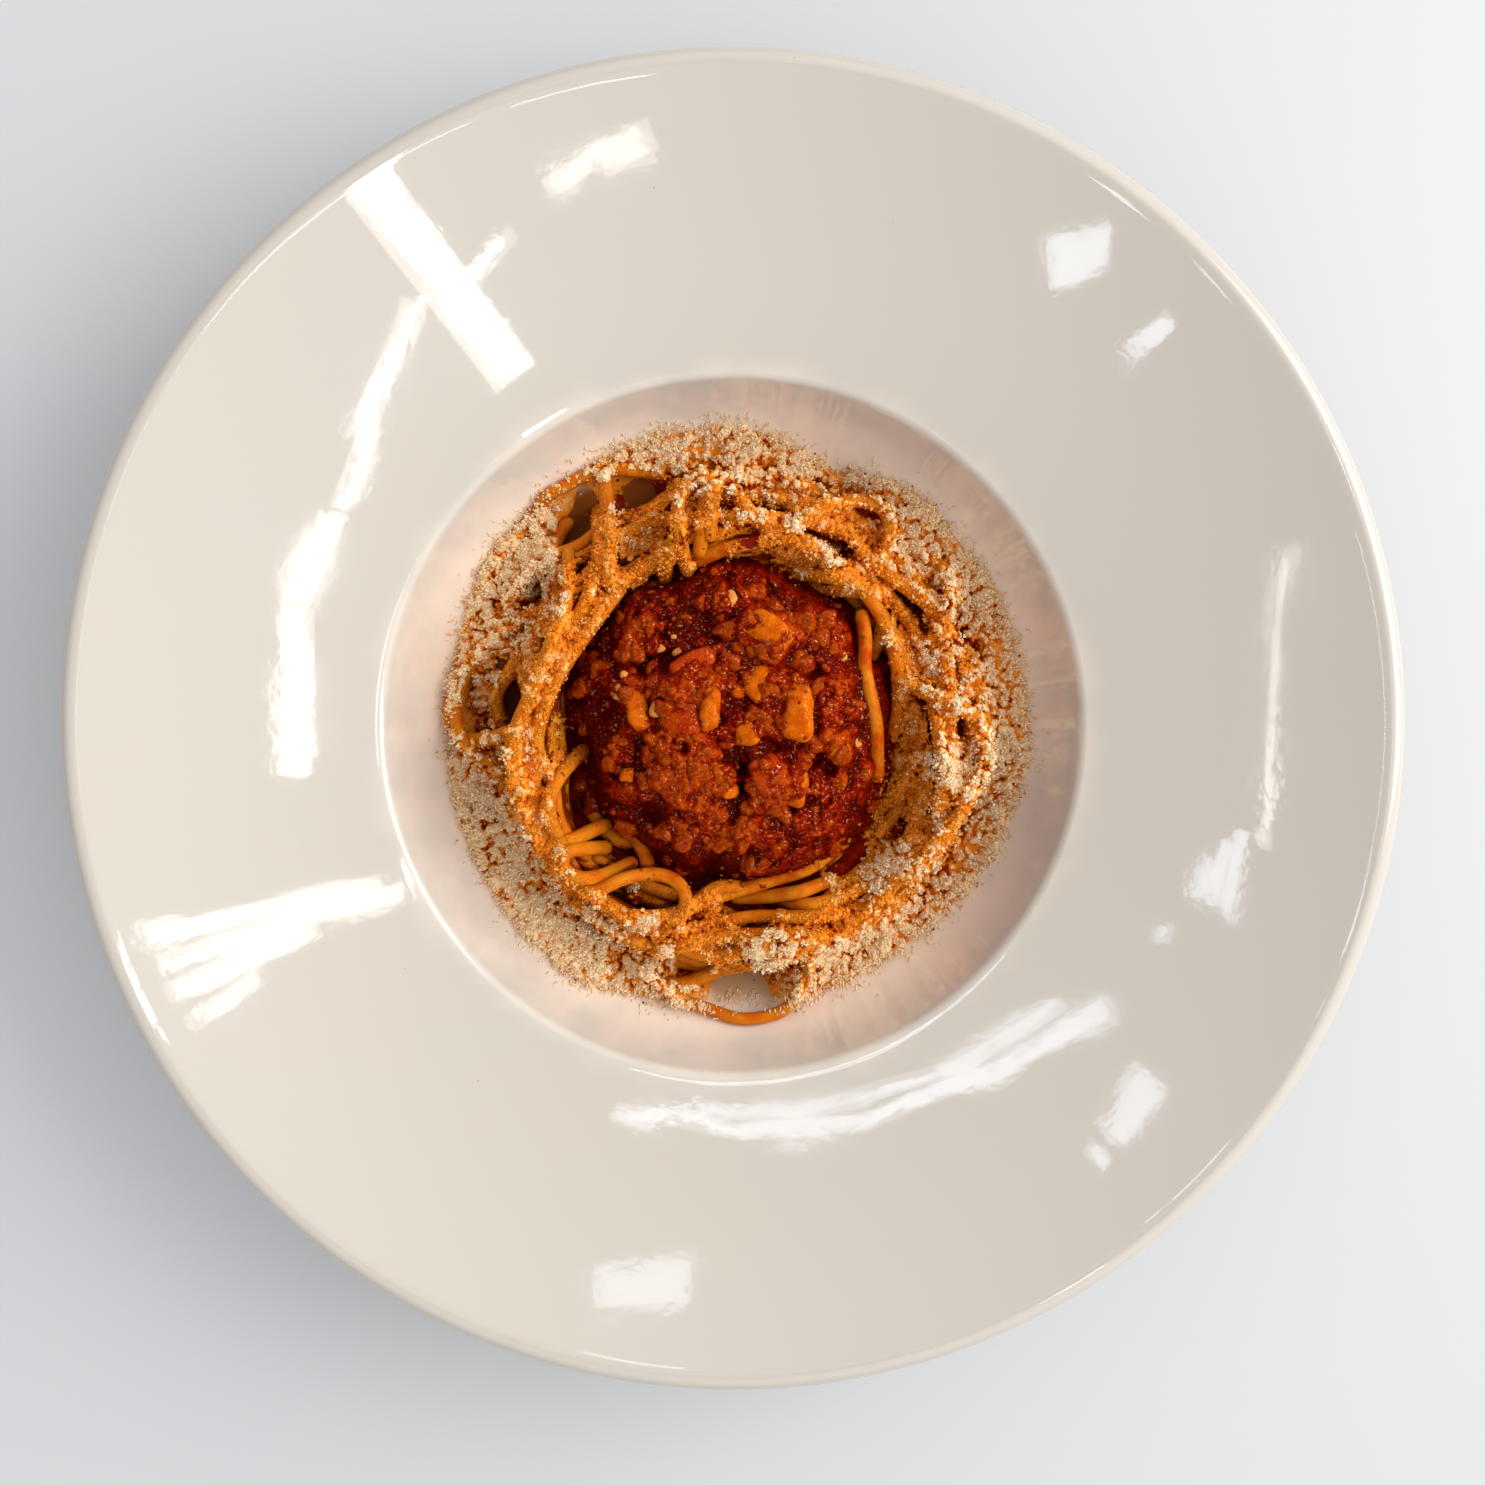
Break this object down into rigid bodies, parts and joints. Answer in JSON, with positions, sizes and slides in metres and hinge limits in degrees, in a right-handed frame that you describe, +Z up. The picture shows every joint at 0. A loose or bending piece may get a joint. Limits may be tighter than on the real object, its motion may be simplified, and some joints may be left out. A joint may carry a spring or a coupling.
{
  "type": "spaghetti bolognese in a pasta bowl",
  "caption": "Nest of spaghetti topped with chunky meat sauce and grated cheese, served in a wide-rimmed round ceramic pasta bowl.",
  "frame": {"origin": "centre of the bowl's foot, on the surface it stands on", "axes": "+Z up out of the bowl; +Y towards the top of the picture, away from the diner; +X to the right"},
  "size_m": [0.27, 0.27, 0.0515],
  "materials": {
    "bowl": "gloss",
    "spaghetti": "satin",
    "ragu": "satin",
    "grated_cheese": "matte"
  },
  "bodies": {
    "root": {"bowl": "bowl", "spaghetti": "spaghetti", "ragu": "ragu", "grated_cheese": "grated_cheese"}
  },
  "joints": []
}
